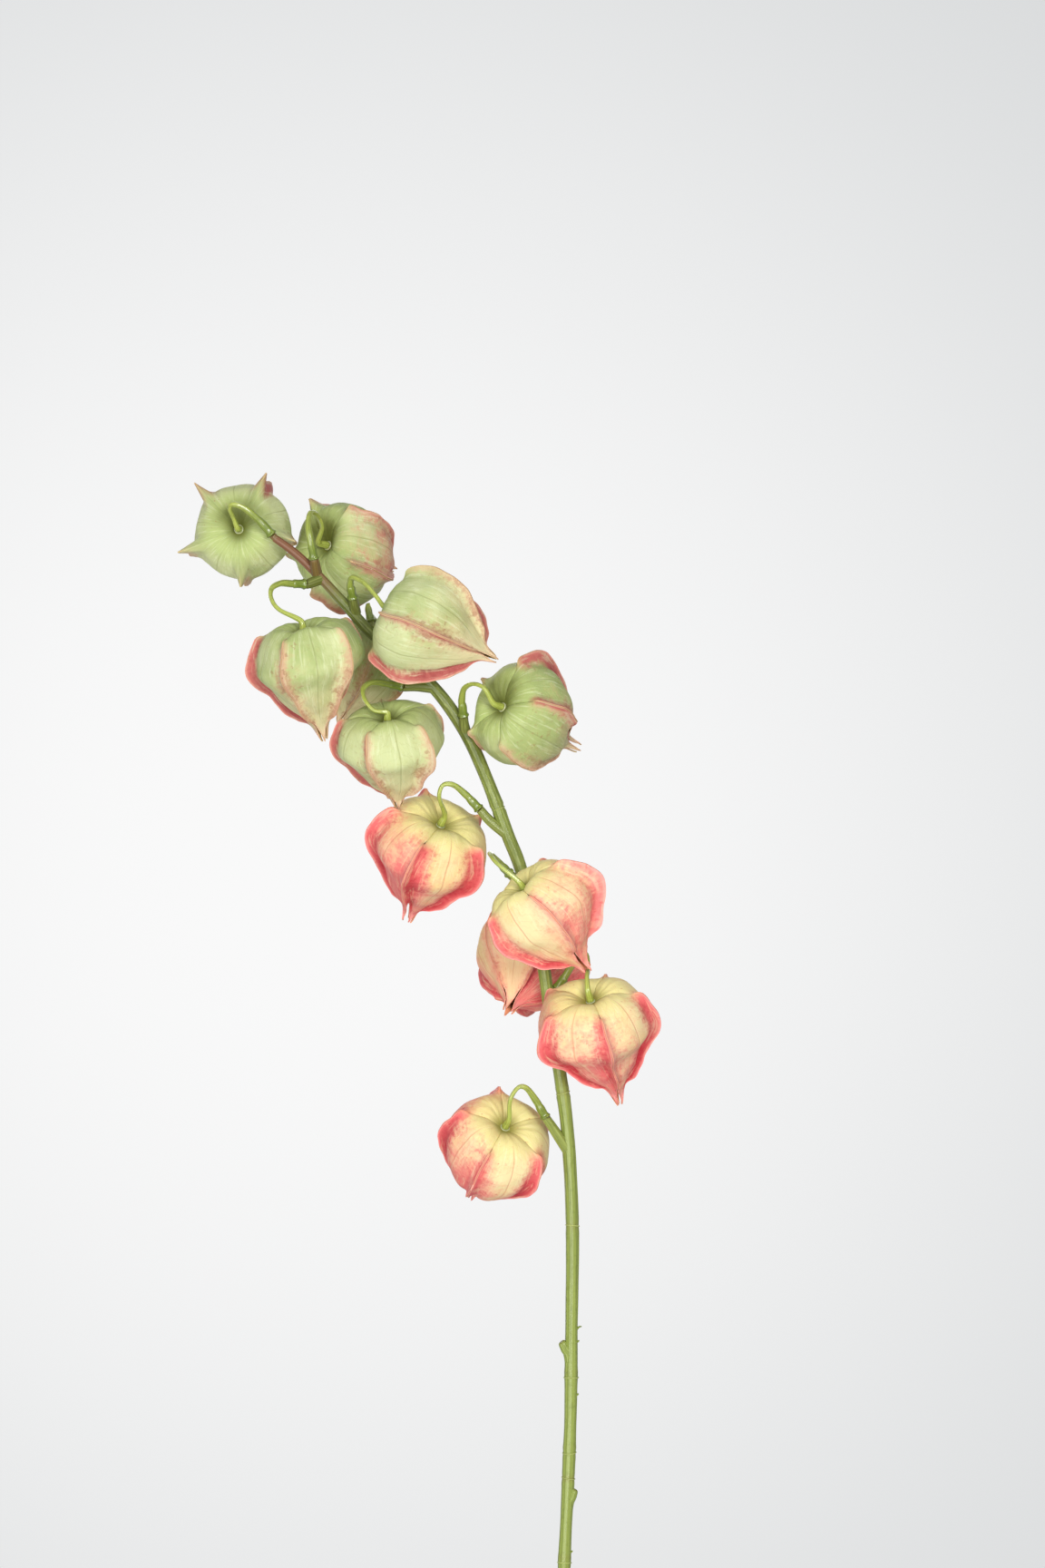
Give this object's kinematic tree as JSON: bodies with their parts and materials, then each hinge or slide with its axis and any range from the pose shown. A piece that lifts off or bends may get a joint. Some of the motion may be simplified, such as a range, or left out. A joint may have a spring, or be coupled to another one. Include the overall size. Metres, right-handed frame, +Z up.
{
  "type": "physalis stem in vase",
  "caption": "Cut physalis stem with papery five-panel lanterns on hooked stalks, arching to one side and standing in a plain turned bottle vase.",
  "frame": {"origin": "middle of the vase's flat foot, where it stands", "axes": "+Z up from the foot, -Y towards the viewer, +X to the viewer's right; the stem arches towards -X"},
  "size_m": [0.2289, 0.1171, 0.726],
  "materials": {
    "stoneware": "matt stoneware, plain",
    "stem_green": "moulded plastic, fine grooves along it",
    "stalk_green": "moulded plastic, slightly glossy",
    "green_lantern": "thin stiff cloth, green with pink keels",
    "coral_lantern": "thin stiff cloth, cream and coral with red keels"
  },
  "bodies": {
    "root": {"vase": "stoneware", "stem": "stem_green", "stalk_01": "stalk_green", "stalk_02": "stalk_green", "stalk_03": "stalk_green", "stalk_04": "stalk_green", "stalk_05": "stalk_green", "stalk_06": "stalk_green", "stalk_07": "stalk_green", "stalk_08": "stalk_green", "stalk_09": "stalk_green", "stalk_10": "stalk_green", "stalk_11": "stalk_green", "stalk_12": "stalk_green", "lantern_01": "green_lantern", "lantern_02": "green_lantern", "lantern_03": "green_lantern", "lantern_04": "green_lantern", "lantern_05": "green_lantern", "lantern_06": "green_lantern", "lantern_07": "green_lantern", "lantern_08": "coral_lantern", "lantern_09": "coral_lantern", "lantern_10": "coral_lantern", "lantern_11": "coral_lantern", "lantern_12": "coral_lantern"}
  },
  "joints": []
}
